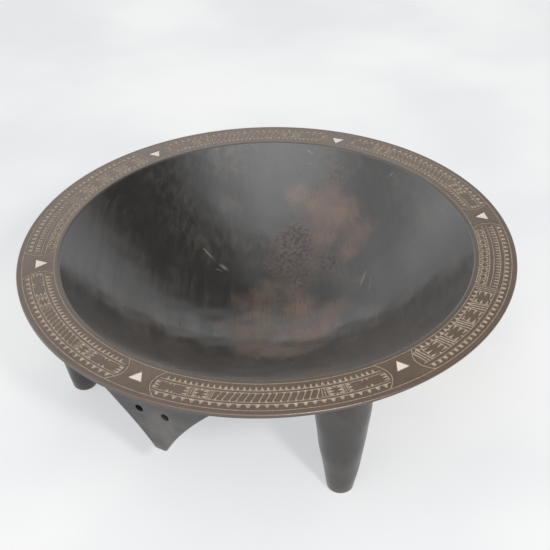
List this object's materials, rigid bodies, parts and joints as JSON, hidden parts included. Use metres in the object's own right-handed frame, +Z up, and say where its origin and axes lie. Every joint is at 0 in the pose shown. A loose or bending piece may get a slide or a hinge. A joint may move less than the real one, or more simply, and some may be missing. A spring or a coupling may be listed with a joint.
{
  "type": "carved wooden footed bowl",
  "caption": "Round shallow wooden bowl with a wide flat carved rim, shell inlays, tapered legs and a pierced hanging lug.",
  "frame": {"origin": "on the floor, under the centre of the round rim: the middle of the bounding box's bottom face", "axes": "+Z up; the pierced lug hangs from the rim on the -Y side; the four legs stand near the diagonals"},
  "size_m": [0.5, 0.5, 0.15],
  "materials": {
    "blackened_wood": "near-black stained and oiled hardwood, satin, with brown worn patches in the hollow",
    "rubbed_wood": "brown hardwood rim, hand-rubbed satin, its chip-carved bands picked out in pale tan",
    "shell": null
  },
  "bodies": {
    "root": {"basin": "blackened_wood", "carved_rim": "rubbed_wood", "leg_back_right": "blackened_wood", "leg_back_left": "blackened_wood", "leg_front_left": "blackened_wood", "leg_front_right": "blackened_wood", "suspension_lug": "blackened_wood", "shell_inlay_1": "shell", "shell_inlay_2": "shell", "shell_inlay_3": "shell", "shell_inlay_4": "shell", "shell_inlay_5": "shell", "shell_inlay_6": "shell"}
  },
  "joints": []
}
